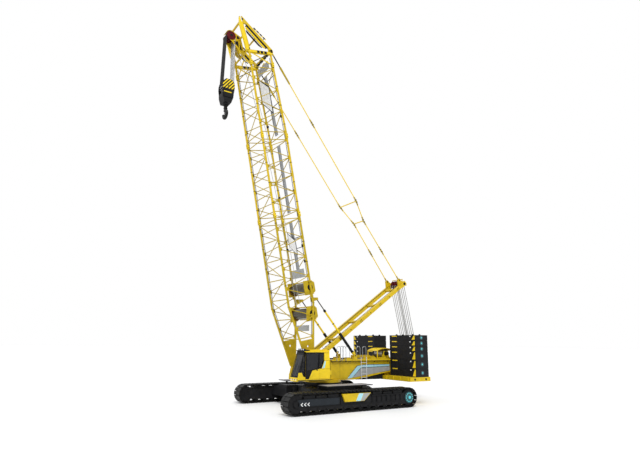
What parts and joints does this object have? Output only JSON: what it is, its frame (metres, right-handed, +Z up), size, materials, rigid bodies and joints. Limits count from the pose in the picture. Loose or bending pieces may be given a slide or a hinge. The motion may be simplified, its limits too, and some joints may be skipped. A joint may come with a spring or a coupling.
{
  "type": "crawler crane with lattice boom",
  "caption": "Crawler crane with two tracks, slewing platform, cab, lattice boom, mast with luffing ropes, counterweight stacks and hook block.",
  "frame": {"origin": "on the ground at the middle of the whole machine's outline, under the slewing axis", "axes": "+X to the front of crawlers and boom, +Y to the operator's left, +Z up"},
  "size_m": [20.6751, 9.46, 31.3934],
  "materials": {
    "shoe_steel": "Dark cast track shoes and rollers.",
    "black_paint": "Black painted steel.",
    "counterweight_black": "Black painted cast slabs.",
    "yellow_paint": "Yellow painted steel.",
    "cab_black": "Black painted door frame and fittings.",
    "cab_glass": "Dark tinted safety glass.",
    "seat_plastic": "Dark seat and console.",
    "red_sheave": "Dark red sheaves.",
    "dark_rod": "Dark backstop rods.",
    "rope_steel": "Grey steel wire rope.",
    "block_black": "Black hook block.",
    "hook_steel": "Black forged hook.",
    "ladder_grey": "Light grey ladder, handrails and walkways."
  },
  "bodies": {
    "undercarriage": {"drive_sprocket_left": "black_paint", "drive_sprocket_right": "black_paint", "idler_left": "black_paint", "idler_right": "black_paint", "track_cover_left": "yellow_paint", "track_cover_right": "yellow_paint", "track_frame_left": "black_paint", "track_frame_right": "black_paint", "track_left": "shoe_steel", "track_right": "shoe_steel", "track_rollers_left": "shoe_steel", "track_rollers_right": "shoe_steel", "carbody": "black_paint", "carbody_decks": "black_paint", "slewing_ring": "black_paint"},
    "superstructure": {"platform_frame": "yellow_paint", "counterweight_tray": "yellow_paint", "counterweights_left": "counterweight_black", "counterweights_right": "counterweight_black", "luffing_winch": "yellow_paint", "engine_housing": "yellow_paint", "engine": "black_paint", "cab_shell": "yellow_paint", "cab_glass": "cab_glass", "cab_seat": "seat_plastic", "tail_sheaves": "black_paint", "access_ladder": "ladder_grey", "deck_handrails": "ladder_grey", "winch_guard": "yellow_paint", "luffing_drum": "red_sheave"},
    "cab_door": {"cab_door": "cab_black", "cab_door_glass": "cab_glass"},
    "boom": {"boom_foot_section": "yellow_paint", "boom_middle_section": "yellow_paint", "boom_upper_section": "yellow_paint", "boom_foot_lacing": "yellow_paint", "boom_middle_lacing": "yellow_paint", "boom_upper_lacing": "yellow_paint", "boom_head": "yellow_paint", "head_sheaves": "red_sheave", "hoist_winches": "yellow_paint", "boom_walkways": "ladder_grey"},
    "mast": {"mast": "yellow_paint", "mast_sheaves": "red_sheave"},
    "pendants": {"pendants": "yellow_paint"},
    "backstop_tubes": {"backstop_tubes": "yellow_paint"},
    "backstop_rods": {"backstop_rods": "dark_rod"},
    "luffing_ropes_upper": {"luffing_ropes_upper": "rope_steel"},
    "luffing_ropes_middle": {"luffing_ropes_middle": "rope_steel"},
    "luffing_ropes_lower": {"luffing_ropes_lower": "rope_steel"},
    "hook_block": {"hook_block": "block_black", "hoist_ropes": "rope_steel"},
    "hook": {"hook": "hook_steel"}
  },
  "joints": [
    {"name": "slew", "type": "hinge", "parent": "undercarriage", "child": "superstructure", "pos_m": [0, 0, 1.8], "axis": [0, 0, 1], "continuous": true},
    {"name": "cab_door_slide", "type": "slide", "parent": "superstructure", "child": "cab_door", "axis": [-1, 0, 0], "range_m": [0, 0.95]},
    {"name": "boom_luff", "type": "hinge", "parent": "superstructure", "child": "boom", "pos_m": [2, 0, 2.7], "axis": [0, -1, 0], "range_deg": [-48.5, 5.5]},
    {"name": "mast_swing", "type": "hinge", "parent": "superstructure", "child": "mast", "pos_m": [1.2, 0, 3.68], "axis": [0, -1, 0], "range_deg": [-56.88, 9.15]},
    {"name": "pendant_swing", "type": "hinge", "parent": "boom", "child": "pendants", "pos_m": [6.39818, 0, 29.08279], "axis": [0, -1, 0], "range_deg": [-0.1074, 0.4084]},
    {"name": "backstop_tilt", "type": "hinge", "parent": "superstructure", "child": "backstop_tubes", "pos_m": [-2.3, 0, 3.87], "axis": [0, -1, 0], "range_deg": [-32.41, 5.23]},
    {"name": "backstop_stroke", "type": "slide", "parent": "backstop_tubes", "child": "backstop_rods", "axis": [0.6433, 0, 0.7656], "range_m": [-0.40769, 3.07194]},
    {"name": "luffing_rope_swing", "type": "hinge", "parent": "mast", "child": "luffing_ropes_upper", "pos_m": [-8.19567, 0, 10.25892], "axis": [0, -1, 0], "range_deg": [-4.09, 25.26]},
    {"name": "luffing_rope_middle_run", "type": "slide", "parent": "luffing_ropes_upper", "child": "luffing_ropes_middle", "axis": [-0.2165, 0, -0.9763], "range_m": [-0.62072, 4.67713]},
    {"name": "luffing_rope_lower_run", "type": "slide", "parent": "luffing_ropes_upper", "child": "luffing_ropes_lower", "axis": [-0.2165, 0, -0.9763], "range_m": [-1.24145, 9.35426]},
    {"name": "hook_block_hang", "type": "hinge", "parent": "boom", "child": "hook_block", "pos_m": [9.65512, 0, 30.09375], "axis": [0, -1, 0], "range_deg": [-8.25, 51.25]},
    {"name": "hook_swivel", "type": "hinge", "parent": "hook_block", "child": "hook", "pos_m": [9.65512, 0, 23.9], "axis": [0, 0, 1], "continuous": true}
  ],
  "couplings": [
    {"joint": "mast_swing", "follows": "boom_luff", "ratio": 1.11},
    {"joint": "pendant_swing", "follows": "boom_luff", "ratio": -0.007},
    {"joint": "backstop_tilt", "follows": "boom_luff", "ratio": 0.632},
    {"joint": "backstop_stroke", "follows": "boom_luff", "m_per_rad": -3.55},
    {"joint": "luffing_rope_swing", "follows": "boom_luff", "ratio": -0.4924},
    {"joint": "luffing_rope_middle_run", "follows": "boom_luff", "m_per_rad": -5.405},
    {"joint": "luffing_rope_lower_run", "follows": "boom_luff", "m_per_rad": -10.81},
    {"joint": "hook_block_hang", "follows": "boom_luff", "ratio": -1}
  ]
}
